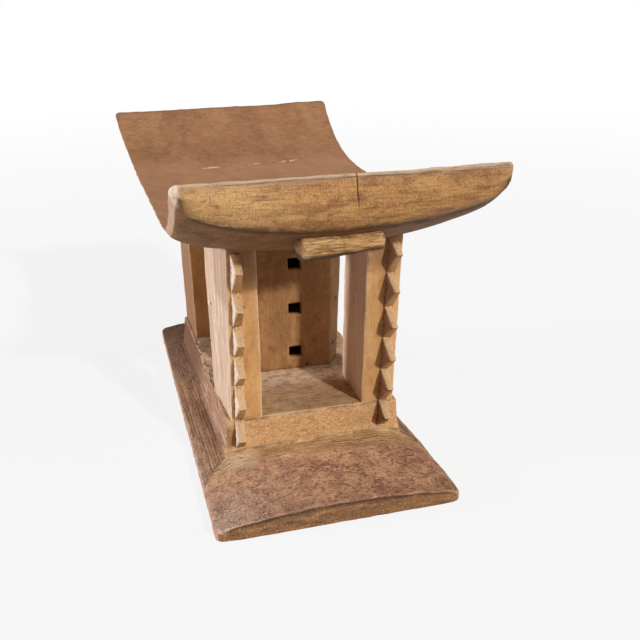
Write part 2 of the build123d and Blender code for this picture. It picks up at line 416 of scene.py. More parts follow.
seat = dict(
    halfLength=295, halfWidth=150, flare=8, low=247, underRise=65, underSweep=3.0,
    edge=286, edgeRise=74, edgeSweep=4.15,
    dish=4, endDish=0.6, lip=7, lipGrowth=6, bulge=2.0, shoulder=0.75,
    corner=8, sharpCorner=6, rims=(2.2, 2.2), steps=(2.6, 2.4), rows=17,
    # the ends bulge, roll under by endRim in their middle, and carry their end grain so far round
    endBulge=2.4, endRim=12, crisp=(0.55, 138), rolled=(144, 132), wrap=13.5, wrapMore=9,
    # the width of the band of painted shade at the end's lower edge, more in the middle and towards the front
    band=2.4, bandMiddle=(1.8, 110, 70), bandMore=4,
    # the sides lean in towards their foot, stand out in the middle, and draw in before the right end
    tuck=6.5, frontTuck=2.5, belly=(2.0, 10, 110), waist=(2.8, 195, 55), fuller=(1.3, 130, 70),
    # the right end is a little towards the back, wider, and tilted
    skew=7.6, farFlare=2.8, tilt=3.0, even=60,       # both ends' changes start this far out
    # the left end is higher, and its front corner longer and thicker, with a thinner lip behind it
    lift=2.1, leftTilt=1.5, point=3.4, thicker=7.0, thinner=(4.5, -215, 45),
    # x, y, half length across, half width, depth
    gouges=[(170, 48, 19, 3.7, 1.4), (175.5, -17, 13, 2.6, 0.9), (176, -64, 18, 4.2, 1.6)],
    # x, y, half width, depth
    pits=[(264.7, 57, 2.2, 1.2), (176, -65, 3.0, 3.0), (222, 46, 1.8, 0.9), (218, -12, 1.8, 0.9)],
    crack=(-7, 0.5, 3.0),        # y, half width, depth at the left end
    grain=[(0.16, 80, 5), (0.05, 14, 6)], endGrain=[(0.15, 16, 7)],
)

seatCoats = [
    coat("", (140, 98, 66), 0.6, (40, 60, 60), (0.42, 0.62)),
    coat("", (96, 64, 42), 0.35, (60, 3, 3), (0.5, 0.72), -0.12),
    coat("bottom", (154, 108, 66), 0.6, (70, 14, 8), (0.46, 0.66)),
    coat("bottom", (88, 58, 38), 0.6, (46, 5, 3), (0.5, 0.68), -0.15),
    coat("bottom", (172, 124, 78), 0.4, (9, 9, 4), (0.54, 0.7)),
    # sides, paler towards the left end
    coat("flank", (176, 128, 98), 0.8),
    coat("flank left", (220, 180, 154), 0.75),
    coat("flank", (150, 104, 78), 0.6, (14, 9, 9), (0.46, 0.66)),
    coat("flank", (236, 204, 180), 0.4, 4, (0.56, 0.7)),
    # the sitting face: smooth from use, with slow clouds and short scratches
    coat("lid", (169, 120, 84), 1),
    coat("lid", (184, 138, 98), 0.6, (70, 50, 70), (0.4, 0.64)),
    coat("lid", (140, 98, 70), 0.55, (38, 26, 38), (0.5, 0.7)),
    coat("lid", (190, 144, 100), 0.35, (11, 14, 11), (0.5, 0.72)),
    coat("lid", (126, 86, 62), 0.35, 9, (0.54, 0.74)),
    coat("lid", (128, 90, 64), 0.3, 2.2, (0.5, 0.75), -0.04),
    coat("lid", (104, 68, 48), 0.4, (5, 24, 5), (0.955, 0.985), -0.1, vein=True),
    # ends: golden end grain that goes on round the lower edge, with level fibres and upright ticks
    coat("tip", (186, 132, 76), 1),
    coat("tip", (208, 156, 94), 0.75, (20, 46, 15), (0.44, 0.6)),
    coat("tip", (136, 86, 48), 0.65, (20, 34, 9), (0.49, 0.62)),
    coat("tip glow", (240, 192, 130), 0.5),
    coat("tip", (126, 82, 46), 0.5, (20, 30, 1.4), (0.5, 0.7), -0.16, bend=0.3),
    coat("tip", (104, 66, 38), 0.35, (20, 20, 2.2), (0.56, 0.7), -0.2, bend=0.5),
    coat("tip", (108, 70, 40), 0.35, (8, 1.3, 8), (0.54, 0.7), -0.12),
    coat("tip", (238, 194, 130), 0.45, (5, 1.6, 2.4), (0.54, 0.68), 0.08),
    coat("tip", (112, 74, 44), 0.5, (6, 10, 6), (0.56, 0.7)),
    coat("tip", (104, 66, 38), 0.5, 1.5, (0.53, 0.67), -0.08),
    # greyer towards the top edge, with a long crack under it, and a band of painted shade at the lower edge,
    # where the end rolls under
    coat("tip rim", (168, 128, 100), 0.9, (30, 40, 5), (0.3, 0.62)),
    coat("tip rim", (100, 66, 46), 0.7, (30, 26, 1.2), (0.54, 0.64), -0.3),
    coat("tip left", (84, 54, 36), 0.7, (30, 60, 30), (0.44, 0.56), -0.5, across="alongZ", at=357.0,
         wide=0.8, jitter=5.0, breaks=(60, 50, 60)),
    coat("shadeAboveLowEdge", (118, 78, 42), 0.85, (5, 9, 5), (0.35, 0.62)),
    coat("lowEdgeShade", (76, 48, 26), 1, (9, 12, 9), (0.15, 0.5)),
    # worn edges
    coat("topEdge", (120, 84, 58), 0.7),
    coat("topEdge left", (228, 198, 170), 0.85, (20, 22, 8), (0.22, 0.46)),
    # the rounded left corner: pale from wear, and a painted highlight where it turns to the side light
    coat("leftCornerWearAndHighlight", (255, 236, 216), 1, (6, 5, 9), (0.28, 0.55)),
    coat("fresh", (240, 192, 142), 0.9),
    coat("freshRim", (116, 78, 54), 0.55),
    coat("pit", (60, 38, 24), 0.85),
    coat("split", (66, 40, 24), 0.9),
    # painted light: the middle of the sitting face made paler, where it gets less light
    coat("lid hollow", (228, 169, 131), 0.35),
]


# The half width is the middle's plus flare, which comes in with the square of the distance along
def seatWidth(x):
    return seat["halfWidth"] + seat["flare"] * (x / seat["halfLength"]) ** 2


# The edge's height is the middle's plus edgeRise, by the distance along to the power edgeSweep
def seatEdge(x):
    return seat["edge"] + seat["edgeRise"] * abs(x / seat["halfLength"]) ** seat["edgeSweep"]


# The top is the edge less a dish: a parabola across, which is shallower at the ends
def seatTop(x, y):
    dish = seat["dish"] + (seat["endDish"] - seat["dish"]) * abs(x / seat["halfLength"]) ** 6
    return seatEdge(x) - dish * (1 - np.minimum(abs(y) / seatWidth(x), 1) ** 2)


# The underside falls from the lip to its middle line by (1 - across^bulge)^shoulder
def seatUnder(x, y):
    along = abs(x / seat["halfLength"])
    centre = seat["low"] + seat["underRise"] * along ** seat["underSweep"]
    lip = seatEdge(x) - seat["lip"] - seat["lipGrowth"] * along ** 2
    across = np.minimum(abs(y) / seatWidth(x), 1)
    return lip - (lip - centre) * (1 - across ** seat["bulge"]) ** seat["shoulder"]


# Hollows in the sitting face: lens-shaped gouges that lean by a tenth, and round pits
def seatHollows(values, x, y, z, marks):
    lid, fresh, rim, pit = marks["lid"], 0, 0, 0
    for middleX, middleY, long, wide, depth in values["gouges"]:
        along, beside = abs(y - middleY) / long, abs(x - middleX + (y - middleY) * 0.10) / wide
        hollow = unit(1.15 - along - beside ** 1.2)
        around = unit(1.5 - along / 1.1 - (beside / 1.8) ** 1.2)
        z = z - depth * hollow * lid
        fresh = np.maximum(fresh, unit(hollow * 4) * lid)
        rim = np.maximum(rim, unit(around * 3) * lid)
    for middleX, middleY, wide, depth in values["pits"]:
        hollow = unit(1 - ((x - middleX) ** 2 + (y - middleY) ** 2) / wide ** 2) * lid
        z = z - depth * hollow
        pit = np.maximum(pit, unit(hollow * depth))
    marks |= {"fresh": fresh, "freshRim": rim * (1 - fresh), "pit": pit}
    return z


# What makes the seat uneven. share is the height's share of the thickness, far and near grow
# towards the right and the left end, and front towards the front side
def seatUneven(values, x, y, z, share):
    def swell(name):
        size, middle, wide = values[name]
        return size * bell(x, middle, wide)

    half, width, even = (values[name] for name in ("halfLength", "halfWidth", "even"))
    far, near = ramp(x, even, half) ** 1.5, ramp(-x, even, half) ** 1.5
    y = y + far * (values["skew"] + values["farFlare"] * y / width)
    y = y + (swell("belly") - swell("waist")) * unit(y / width)
    y = y - swell("fuller") * unit(-y / width)
    z = z - far * values["tilt"] * y / width
    z = z + near * (values["lift"] - values["leftTilt"] * y / width)
    front = unit(-y / width)
    z = z + (1 - share) * (swell("thinner") * front ** 4 - values["thicker"] * near * front ** 6)
    return y - near ** 2 * values["point"] * front, z


def seatShape(values):
    half, width = values["halfLength"], values["halfWidth"]
    crackY, crackWide, crackDepth = values["crack"]
    atCrack = crackY + crackWide * np.array([-2, -1, -0.4, 0, 0.4, 1, 2])

    def flared(height):
        return lambda x, y: height(x, y * seatWidth(x) / width)

    def lowerRim(insetX, insetY, y):
        crisp, full = values["crisp"]
        soft = values["endRim"] * (1 - crisp * np.minimum(abs(y) / full, 1) ** 3)
        return values["rims"][1] + np.where(insetX < insetY, soft, 0)

    def corners(x, y):
        return np.where((x < 0) & (y > 0), values["corner"], values["sharpCorner"])

    under, over = flared(seatUnder), flared(seatTop)
    points, faces, marks = block(values, (-half, half), (-width, width), under, over, corners,
                                 (values["rims"][0], lowerRim), atCrack)
    x, y, z = points.T
    # in its middle the end grain goes on to the rolled part of the underside, and ends in a band of painted
    # shade
    rolled = ramp(abs(y), *values["rolled"]) * marks["bottom"]
    inset, insetY, frontward = half - abs(x), width - abs(y), ramp(-y, 30, 90)
    reach = values["wrap"] + values["wrapMore"] * frontward
    more, *levels = values["bandMiddle"]
    band = values["band"] + more * ramp(abs(y), *levels) + values["bandMore"] * frontward
    wrapped = rolled * ramp(inset, reach, reach - 3)
    marks["shadeAboveLowEdge"] = rolled * bell(inset, reach - 3, 5)
    marks["lowEdgeShade"] = rolled * bell(inset, reach, band)
    share = (z - under(x, y)) / (over(x, y) - under(x, y))
    split = 1 - abs(y - crackY - (z - 340) * 0.05) / crackWide
    # the ends bulge outwards by a parabola of their height
    x = x + np.sign(x) * marks["tip"] * values["endBulge"] * (1 - (2 * share - 1) ** 2)
    tuck = np.where(y > 0, values["tuck"], values["frontTuck"]) * (1 - share) * ramp(insetY, 40, 0)
    y = y * (seatWidth(x) - tuck) / width
    z = seatHollows(values, x, y, z, marks)
    # the crack runs down the left end, deepest at the top
    marks["split"] = unit(split) * ramp(x, 11 - half, -3 - half) * ramp(z, 322, 336)
    x = x + crackDepth * marks["split"]
    y, z = seatUneven(values, x, y, z, share)
    points = np.stack([x, y, z], 1)
    points[:, 2] += grain(points, values["grain"]) * marks["lid"]
    points[:, 0] += grain(points, values["endGrain"]) * marks["tip"]
    marks["topEdge"] = marks["edge"] ** 1.5 * marks["rim"] * ramp(abs(x), 270, 285)
    marks["tip"] = np.maximum(marks["tip"], wrapped)
    marks["glow"] = ramp(y, 30, 100)
    # the middle of the sitting face, where light is painted
    marks["hollow"] = ramp(abs(x), 208, 163) * (1 - np.maximum(marks["fresh"], marks["pit"]))
    marks["leftCornerWearAndHighlight"] = ramp(y, 148.5, 151) * ramp(-x, 284, 289) * marks["rim"] ** 0.25
    return points, faces, marks


print("seat")
addCamera(viewpoint)
addPiece("seat", seatShape(seat), coated("seat wood", (120, 82, 50), seatCoats, 0.58))

post = dict(
    near=59, far=95, start=86, reach=174, foot=72, rise=175, sunk=1.5,
    lean=3.0, toe=4.0, corner=1.8, rims=(0, 0), steps=(2.2, 2.2), rows=90,
    ridge=2.0,                     # the outer side is cut in two flats that meet at a low ridge
    bevel=5.0,                     # at the foot of the inner edge that faces the column
    stripWide=10.0, root=1.5, draft=1.7, draftReach=24,
)

# Each post was cut by eye. outer is how far the outer corner on the stool's end stands off the
# middle, at the foot and at the seat. strip is the same for its tooth strip's outer side. Then the
# heights of the valleys between the teeth, from the lowest, the heights of their ridges, and how
# far each reaches. back moves the outer corner by the column in, and closer the inner side, at the
# foot and at the seat.
posts = dict(
    post_right_back=dict(
        sign=(1, 1), outer=(96, 101), strip=(91, 94), back=4.0,
        valleys=(74, 112, 150, 187, 224, 262), ridges=(96, 133, 171, 208, 247),
        reaches=(22, 23, 24, 25, 26),
    ),
    post_right_front=dict(
        sign=(1, -1), outer=(95, 98), strip=(91, 94),
        valleys=(74, 113, 149, 188, 225, 263), ridges=(95, 134, 170, 209, 246),
        reaches=(22, 23, 24, 25, 26),
    ),
    post_left_back=dict(
        sign=(-1, 1), outer=(94, 92.6), strip=(89.9, 88.1), closer=(0, 1.8),
        valleys=(74.2, 114.2, 148.7, 182.4, 220.2, 262), ridges=(95.5, 132, 168.5, 206, 247.5),
        reaches=(22.5, 24, 23.5, 24.5, 27),
    ),
    post_left_front=dict(
        sign=(-1, -1), outer=(94, 101), strip=(86, 93.5), closer=(3.2, 0.8),
        valleys=(74.8, 113.7, 151.5, 188.1, 227.1, 268), ridges=(97, 132.7, 170.9, 211.1, 252),
        reaches=(25, 25.5, 25.5, 25, 24),
    ),
)

postCoats = [
    # ends: golden and blotchy
    coat("", (216, 166, 108), 0.7, (60, 24, 46), (0.44, 0.64)),
    coat("", (176, 124, 72), 0.55, (50, 14, 24), (0.5, 0.7)),
    coat("", (168, 116, 68), 0.4, (6, 2.0, 34), (0.5, 0.75), -0.08),
    coat("", (150, 102, 58), 0.35, (6, 5, 7), (0.54, 0.72)),
    # outer sides: pale, streaked along the post, and browner at the stool's right half
    coat("outer", (158, 112, 76), 1),
    coat("outer left", (222, 190, 164), 1),
    coat("outer", (176, 130, 106), 0.6, (2.4, 2.4, 80), (0.48, 0.68), -0.12),
    coat("outer left", (246, 226, 206), 0.65, (7, 7, 110), (0.46, 0.64)),
    coat("outer", (184, 144, 116), 0.5, (14, 14, 60), (0.52, 0.68)),
    coat("outer", (138, 90, 72), 0.6, (1.8, 1.8, 30), (0.57, 0.68), -0.12),
    coat("outer left", (255, 244, 234), 0.6, (1.6, 1.6, 5), (0.6, 0.7), 0.05),
    coat("outer facet", (168, 132, 110), 0.5),
    # inner sides: reddish brown, over a pale first coat that is painted light for the light thrown back on
    # them
    coat("inner", (232, 196, 166), 1),
    coat("inner", (178, 136, 110), 0.6, (3, 3, 70), (0.48, 0.7), -0.1),
    coat("inner", (230, 198, 176), 0.5, (16, 16, 40), (0.5, 0.68)),
    coat("inner", (118, 76, 56), 0.5, (2, 2, 9), (0.58, 0.72)),
    # teeth: inner sides darker as painted shade; pale ticked faces above their ridges as painted light, brown
    # ones below as painted shade
    coat("tooth inner", (166, 118, 94), 0.9),
    coat("tooth inner", (110, 70, 52), 0.6, (3, 3, 5), (0.52, 0.68), -0.1),
    *teethCoats((250, 232, 220), (218, 178, 132), (164, 114, 66), 0.85),
    # painted shade at the foot, under the seat, and down the top of each end, where the seat's shadow falls
    coat("hem", (120, 82, 54), 0.8, 9, (0.35, 0.6)),
    coat("rim", (98, 64, 40), 0.8, (9, 9, 12), (0.3, 0.55)),
    coat("smoky end", (112, 70, 38), 0.5),
    coat("edge", (232, 198, 158), 0.45, 9, (0.35, 0.6), off="crevice"),
    coat("", (250, 236, 226), 0.8, 4, (2.6, 3.8), spot=(-93, 99, 184), long=2.2, jitter=1),
    coat("", (96, 70, 58), 0.9, 4, (1.2, 2.4), -0.5, spot=(-104, 99, 186.5), long=2.6, jitter=1),
    coat("", (70, 44, 28), 0.9, 2, (0.4, 2.0), -0.5, spot=(-174, 76.2, 203), jitter=3.0),
] + pores(0.3)


# How far a post stands outwards: by lean at its head, and by toe at its end towards the column
def postShift(x, z):
    along = (post["reach"] - x) / (post["reach"] - post["start"])
    return post["lean"] * (z - post["foot"]) / post["rise"] + post["toe"] * along


# A block whose two sides are moved to straight blends: upwards between the distances from the
# middle at the foot and at the seat, and along the post between those at its two ends
def postBody(values, cut):
    near, far, start, reach = (values[name] for name in ("near", "far", "start", "reach"))

    def over(x, y):
        return seatUnder(x, y + 5) + 3

    points, faces, marks = block(values, (start, reach), (near, far), values["foot"] - values["sunk"], over)
    x, y, z = points.T
    along = ramp(x, reach, start)
    tall = (z - values["foot"]) / values["rise"]

    def between(pair):
        return pair[0] * (1 - tall) + pair[1] * tall

    inner = near + postShift(x, z) - between(cut.get("closer", (0, 0)))
    outer = between(cut["outer"]) * (1 - along) + (far + postShift(x, z) - cut.get("back", 0)) * along
    outer = outer + values["ridge"] * unit(0.3 + tall) * (1 - abs(along - 0.5) / 0.5)
    # the inner edge that faces the column is bevelled, by more towards the foot
    bevel = values["bevel"] * np.clip(1 - tall, 0.15, 1)
    left = np.maximum(bevel - (x - start) - (y - near), 0)
    y = inner + (y - near) / (far - near) * (outer - inner) + left * 0.5
    x = x + left * 0.5
    # the top of the post, where the seat's shadow is painted on its ends
    marks["smoky"] = ramp(z, 224, 238)
    marks["facet"] = unit((0.53 - along) * 25 + 0.3 * waves(points, 12, 50)) * ramp(z, 196, 210)
    return np.stack([x, y, z], 1), faces, marks


def toothStrip(values, strip, valleys, ridges, reaches):
    # Reach at a height is a straight rise from each valley to its ridge and back, softened over
    # a millimetre. Each row is a closed ring of ten points whose sides draw in as it reaches out.
    z = np.arange(valleys[0], valleys[-1] + 0.01, 0.5)
    knots, heights = np.empty(2 * len(ridges) + 1), np.full(2 * len(ridges) + 1, values["root"])
    knots[0::2], knots[1::2], heights[1::2] = valleys, ridges, reaches
    reach = np.convolve(np.pad(np.interp(z, knots, heights), 1, mode="edge"), [0.25, 0.5, 0.25], mode="valid")
    half = values["stripWide"] / 2 + 0 * z
    draft = half - values["draft"] * reach / values["draftReach"]
    soft = np.minimum(0.5, reach * 0.3)
    out = [0 * z - 4, 0 * z, reach * 0.5, reach - soft, reach]
    out = np.stack(out + out[::-1], 1)
    side = [half, half, (half + draft) / 2, draft, draft - soft]
    side = np.stack([-value for value in side] + side[::-1], 1)
    tall = (z - values["foot"]) / values["rise"]
    middle = strip[0] * (1 - tall) + strip[1] * tall - values["stripWide"] / 2
    ring = out.shape[1]
    points = np.stack([values["reach"] + out, middle[:, None] + side, z[:, None] + 0 * out], -1)
    points = points.reshape(-1, 3)
    rows = np.arange(len(z) * ring).reshape(len(z), ring)
    rows = np.concatenate([rows, rows[:, :1]], 1)
    faces = np.stack([rows[:-1, :-1], rows[:-1, 1:], rows[1:, 1:], rows[1:, :-1]], -1).reshape(-1, 4)
    # each end is closed by quads between the ring's two halves
    left = np.arange(ring // 2)
    right = ring - 1 - left
    cap = np.stack([left[:-1], right[:-1], right[1:], left[1:]], -1)
    faces = np.concatenate([faces, cap, cap[:, ::-1] + rows[-1, 0]])
    front = np.zeros((len(z), ring))
    front[:, 3:7] = 1
    # how far each row is under the next ridge, over the last one, and from a valley
    away = np.subtract.outer(z, ridges)
    below = np.min(np.where(away < 0, -away, 99), 1)
    above = np.min(np.where(away >= 0, away, 99), 1)
    gap = np.min(abs(np.subtract.outer(z, valleys)), 1)
    rising = np.searchsorted(knots, z) % 2             # 1 where the face looks down
    rowMarks = {
        "edge": np.maximum(0.4, np.exp(-np.minimum(below, above) / 1.2)),
        "upperFace": 1 - rising,
        "lowerFace": rising,
        # where a shadow is painted just under each ridge
        "underRidge": bell(below, 1.2, 0.9),
    }
    marks = {name: (front * row[:, None]).ravel() for name, row in rowMarks.items()}
    # painted shade by the valleys and along the strip's root
    marks["crevice"] = np.maximum(np.exp(-gap / 1.6)[:, None] * 0.9, np.exp(-abs(out) / 1.6)).ravel()
    marks["tooth"] = np.ones(len(points))
    return points, faces, marks


print("posts")
postWood = coated("post wood", (202, 150, 94), postCoats, 0.66)
for name, cut in posts.items():
    strip = toothStrip(post, cut["strip"], cut["valleys"], cut["ridges"], cut["reaches"])
    addPiece(name, mirrored(joined(postBody(post, cut), strip), *cut["sign"]), postWood)

plinth = dict(
    reach=174, half=99.5, splay=3.5, bottom=27, top=72, foot=32,
    corner=2.8, rims=(1.6, 0), steps=(2.6, 2.6),
    rows=(*np.linspace(0, 0.42, 12), *np.linspace(0.46, 1, 15)),
    cove=3.0, coveTall=3.5, brow=2.0, browLong=22, chip=3.5,
    # lowest and highest point, ridge and reach of each post's lowest tooth
    teeth=dict(
        post_right_back=(42, 73, 55, 19), post_right_front=(42, 73, 56, 19),
        post_left_back=(39.8, 73.8, 54.5, 19), post_left_front=(42.5, 74.6, 60, 23),
    ),
)

plinthCoats = [
    # ends: orange tan with a curly figure and pale flecks
    coat("", (222, 172, 118), 0.7, (30, 40, 18), (0.4, 0.62)),
    coat("", (182, 128, 78), 0.7, (20, 26, 9), (0.5, 0.66), bend=1.2),
    coat("", (150, 100, 58), 0.6, (14, 15, 5), (0.9, 0.97), -0.12, vein=True, bend=2.6),
    coat("", (244, 202, 148), 0.6, (12, 12, 4), (0.9, 0.98), vein=True, bend=2.6),
    coat("", (150, 102, 60), 0.5, (3, 5, 2.4), (0.54, 0.7), -0.08),
    coat("", (246, 208, 156), 0.6, (3, 4, 1.8), (0.58, 0.72)),
    # long sides: pinkish, streaked along the stool
    coat("side", (132, 90, 64), 1),
    coat("side left", (192, 146, 118), 1),
    coat("side", (140, 94, 72), 0.7, (80, 3, 2.2), (0.48, 0.66), -0.2),
    coat("side left", (226, 186, 158), 0.6, (50, 9, 6), (0.48, 0.64)),
    coat("side", (122, 72, 52), 0.8, (60, 3, 2.5), (0.53, 0.64), -0.2),
    coat("side", (96, 60, 42), 0.7, (9, 9, 4), (0.58, 0.68), -0.5),
    # top: grey and dusty, olive brown near the ends
    coat("up", (226, 192, 162), 1),
    coat("up outward", (206, 168, 122), 0.95),
    coat("up", (232, 204, 172), 0.55, (30, 22, 30), (0.44, 0.64)),
    coat("up", (166, 132, 92), 0.55, (14, 18, 14), (0.5, 0.68)),
    coat("up", (150, 118, 88), 0.35, 2.4, (0.52, 0.7), -0.05),
    coat("up", (104, 76, 54), 0.5, (9, 30, 9), (0.95, 0.985), -0.2, vein=True),
    # a painted shadow of the lowest tooth on the end's corner beside it
    coat("tip", (142, 98, 52), 0.75, 9, (9, 17), spot=(-176, 100, 52), jitter=8.0),
    # darker in the seam at the foot and along the lower edge of the top
    coat("seam", (66, 48, 36), 0.95, (9, 12, 30), (0.3, 0.5), -0.5),
    coat("footBand", (226, 190, 146), 0.5, (10, 12, 30), (0.4, 0.6)),
    coat("brow", (104, 62, 42), 0.9, (8, 16, 8), (0.4, 0.6)),
    # the lowest teeth: inner sides darker as painted shade, and faces as on the posts
    coat("tooth inner", (150, 104, 78), 0.9),
    *teethCoats((250, 230, 218), (216, 176, 132), (150, 104, 66), 0.8),
    coat("edge left", (230, 196, 156), 0.4, 9, (0.4, 0.62), off="crevice"),
] + pores(0.4)

base = dict(
    reach=290, half=130, edge=13, endCrown=11.5, endFullness=2,
    foot=174, footHalf=103, footCrown=23.5, fullness=6,
    corner=8, rims=(1.6, 1.6), steps=(2.3, 2.3), lip=1.3, waist=2.5, taper=3.0,
    rows=(0, 0.1, 0.22, 0.36, 0.5, 0.62, 0.72, 0.8, 0.86, 0.91, 0.96, 1),
    grain=[(0.28, 22, 8), (0.13, 8, 9)], endGrain=[(0.12, 14, 10)],
)


# The edge's height plus a crown of 1 - across^power, which is high and broad by the plinth and a
# low parabola at the ends, with a straight blend along the stool between them
def baseTop(x, y):
    across = np.minimum(abs(y) / base["half"], 1)
    share = ramp(abs(x), base["foot"], base["reach"])
    inner = base["footCrown"] * (1 - across ** base["fullness"])
    outer = base["endCrown"] * (1 - across ** base["endFullness"])
    return base["edge"] + inner * (1 - share) + outer * share


def plinthShape(values):
    reach, half, top = values["reach"], values["half"], values["top"]
    points, faces, marks = block(values, (-reach, reach), (-half, half), values["bottom"], top)
    x, y, z = points.T
    above = z - baseTop(x, y)
    up = np.maximum(above, 0)
    y = y * (1 + values["splay"] * np.clip((top - z) / (top - values["foot"]), 0, 1.2) / half)
    # the sides splay in a straight line. A small cove runs round the foot, exp(-height / coveTall),
    # and the top edge of each end is a little raised
    cove = values["cove"] * np.exp(-up / values["coveTall"]) * (above > -8)
    x = x + np.sign(x) * cove * marks["tip"]
    y = y + np.sign(y) * cove * marks["flank"] * 0.6
    brow = values["brow"] * np.exp(-np.maximum(reach - abs(x), 0) / values["browLong"]) * marks["lid"]
    z = z + brow * unit(1 - (y / 72) ** 6) * (1 + y / 400)
    # chips along the back edge of the top, between the posts
    chip = unit(waves(points, 15, 31) - 0.1) * ramp(y, 93, 99) * ramp(abs(x), 84, 76) * marks["rim"]
    z, y = z - values["chip"] * chip, y - values["chip"] * 0.7 * chip
    marks["seam"] = np.exp(-abs(above - 1.0) / 1.1) * (1 - marks["lid"])
    marks["footBand"] = np.exp(-up / 3.0) * marks["tip"]
    marks["brow"] = marks["tip"] * np.exp(-(1 - ramp(z, 40, top)) * 40) * (abs(y) < 62)
    marks["outward"] = ramp(abs(x), 95, 125)
    marks["crevice"] = chip
    teeth = []
    for name, (low, high, ridge, out) in values["teeth"].items():
        strip = toothStrip(post, posts[name]["strip"], (low, high), (ridge,), (out,))
        teeth.append(mirrored(strip, *posts[name]["sign"]))
    return joined((np.stack([x, y, z], 1), faces, marks), *teeth)


print("plinth")
plinthWood = coated("plinth wood", (206, 156, 104), plinthCoats, 0.7)
addPiece("plinth", plinthShape(plinth), plinthWood)

baseCoats = [
    # the slopes: reddish brown, mottled, golden close to the plinth's foot
    coat("", (220, 168, 124), 0.7, 70, (0.42, 0.58)),
    coat("", (154, 102, 80), 0.65, (26, 30, 26), (0.5, 0.64)),
    coat("", (228, 180, 140), 0.5, (12, 16, 12), (0.5, 0.66), bend=0.6),
    coat("", (120, 76, 56), 0.6, (9, 14, 9), (0.54, 0.66), -0.25, bend=0.6),
    coat("", (118, 72, 52), 0.7, (3.2, 4.2, 3.2), (0.5, 0.64), -0.25, bend=0.5),
    coat("byPlinth lid", (222, 180, 128), 0.9),
    coat("byPlinth lid", (186, 142, 94), 0.7, (16, 60, 16), (0.44, 0.64)),
    coat("byPlinth lid", (150, 108, 70), 0.6, (3, 40, 3), (0.46, 0.64), -0.15),
    coat("longSlope lid", (158, 114, 86), 0.85),
    coat("longSlope lid", (206, 164, 124), 0.65, (90, 5, 5), (0.46, 0.66)),
    coat("longSlope lid", (120, 82, 60), 0.5, (60, 14, 14), (0.48, 0.66)),
    # tool lines that follow the plinth, all over the long slopes and close to it on the short ones
    coat("longSlope lid", (84, 54, 38), 0.85, (150, 40, 40), (0.7, 0.98), -0.45, across="away", pitch=3.3,
         jitter=2.0, breaks=(90, 9, 9)),
    coat("lines lid", (106, 70, 44), 0.9, (60, 150, 60), (0.72, 0.98), -0.45, across="away", pitch=4.2,
         jitter=2.4, breaks=(5, 60, 5)),
    coat("mitre lid", (82, 54, 40), 0.8, depth=-0.4),
    coat("darker lid", (108, 78, 56), 0.8),
    coat("outward lid", (120, 78, 56), 0.4, (40, 50, 40), (0.28, 0.58)),
    coat("lid", (236, 206, 168), 0.7, 6, (4, 26), spot=(-188, 88, 30), jitter=18.0),
    # few fine cracks, pale flecks and scratches, and a grey bloom towards the left corner
    coat("lid", (96, 60, 44), 0.6, (14, 34, 14), (0.975, 0.992), -0.3, vein=True, bend=1),
    coat("lid", (250, 226, 200), 0.6, (2.2, 2.6, 2.2), (0.62, 0.72), 0.1),
    coat("lid", (246, 214, 176), 0.6, (1.8, 18, 1.8), (0.61, 0.7), 0.1),
    coat("bloom lid", (204, 168, 150), 0.7, 24, (0.3, 0.55)),
    coat("bloom lid", (246, 230, 216), 0.7, (2.0, 2.4, 2.0), (0.5, 0.62), 0.1),
    # ends: tan, and darker under the lip
    coat("tip", (138, 96, 60), 1),
    coat("tip", (172, 122, 76), 0.7, (20, 40, 7), (0.44, 0.64)),
    coat("tip", (90, 62, 42), 0.75, (20, 26, 5), (0.52, 0.66)),
    coat("tip", (100, 68, 42), 0.55, (8, 14, 1.3), (0.52, 0.68), -0.12),
    coat("tip", (100, 68, 42), 0.55, (3, 1.6, 3), (0.54, 0.68), -0.08),
    coat("tip", (226, 178, 124), 0.5, (3, 1.8, 2), (0.58, 0.7)),
    coat("underLip", (76, 52, 38), 0.95, (20, 30, 20), (0.2, 0.5)),
    coat("lipEdge", (226, 210, 196), 0.65),
    # long sides
    coat("flank", (206, 160, 138), 0.9),
    coat("flank", (150, 106, 84), 0.6, (50, 5, 3), (0.5, 0.7), -0.1),
    # a painted highlight along the top edge of the long sides at the left half
    coat("sideEdge left", (224, 196, 180), 0.7, 10, (0.4, 0.62)),
] + pores(0.55, (108, 70, 52))


